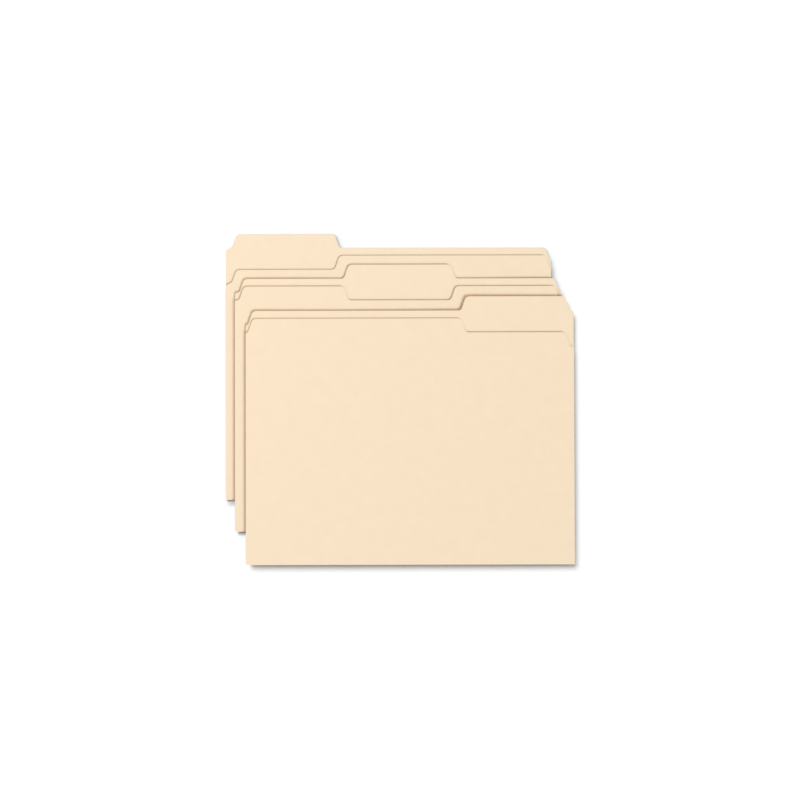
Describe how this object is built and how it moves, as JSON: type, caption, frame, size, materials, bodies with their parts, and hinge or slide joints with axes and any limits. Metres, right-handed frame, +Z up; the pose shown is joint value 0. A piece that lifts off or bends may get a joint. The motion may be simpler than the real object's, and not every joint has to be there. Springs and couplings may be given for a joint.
{
  "type": "manila folder",
  "caption": "Fanned pile of letter-size manila file folders with left, centre and right third-cut tabs; each front leaf opens about its rounded bottom fold.",
  "frame": {"origin": "on the table, under the middle of the pile's box", "axes": "+X along the folds to the right, +Y from the folds to the tabs, +Z up from the table"},
  "size_m": [0.3146, 0.299, 0.0108],
  "materials": {
    "manila_card": "matte buff card"
  },
  "bodies": {
    "left_back": {"left_back_leaf": "manila_card", "left_fold": "manila_card"},
    "left_front": {"left_front_leaf": "manila_card"},
    "center_back": {"center_back_leaf": "manila_card", "center_fold": "manila_card"},
    "center_front": {"center_front_leaf": "manila_card"},
    "right_back": {"right_back_leaf": "manila_card", "right_fold": "manila_card"},
    "right_front": {"right_front_leaf": "manila_card"}
  },
  "joints": [
    {"name": "left_open", "type": "hinge", "parent": "left_back", "child": "left_front", "pos_m": [-0.0096, -0.09017, 0.00163], "axis": [-1, 0, 0], "range_deg": [-85, 0], "deforming": ["left_fold"]},
    {"name": "upper_pair_tilt", "type": "hinge", "parent": "left_back", "child": "center_back", "pos_m": [0.0096, -0.14787, 0.00915], "axis": [-1, 0, 0], "range_deg": [-85, 0]},
    {"name": "center_open", "type": "hinge", "parent": "center_back", "child": "center_front", "pos_m": [-0.0007, -0.11847, 0.00539], "axis": [-1, 0, 0], "range_deg": [-85, 0], "deforming": ["center_fold"]},
    {"name": "right_tilt", "type": "hinge", "parent": "center_back", "child": "right_back", "pos_m": [0.0096, -0.14787, 0.00915], "axis": [-1, 0, 0], "range_deg": [-85, 0]},
    {"name": "right_open", "type": "hinge", "parent": "right_back", "child": "right_front", "pos_m": [0.0096, -0.14787, 0.00915], "axis": [1, 0, 0], "range_deg": [0, 179], "deforming": ["right_fold"]}
  ],
  "couplings": [
    {"joint": "upper_pair_tilt", "follows": "left_open", "ratio": 1},
    {"joint": "right_tilt", "follows": "center_open", "ratio": 1}
  ]
}
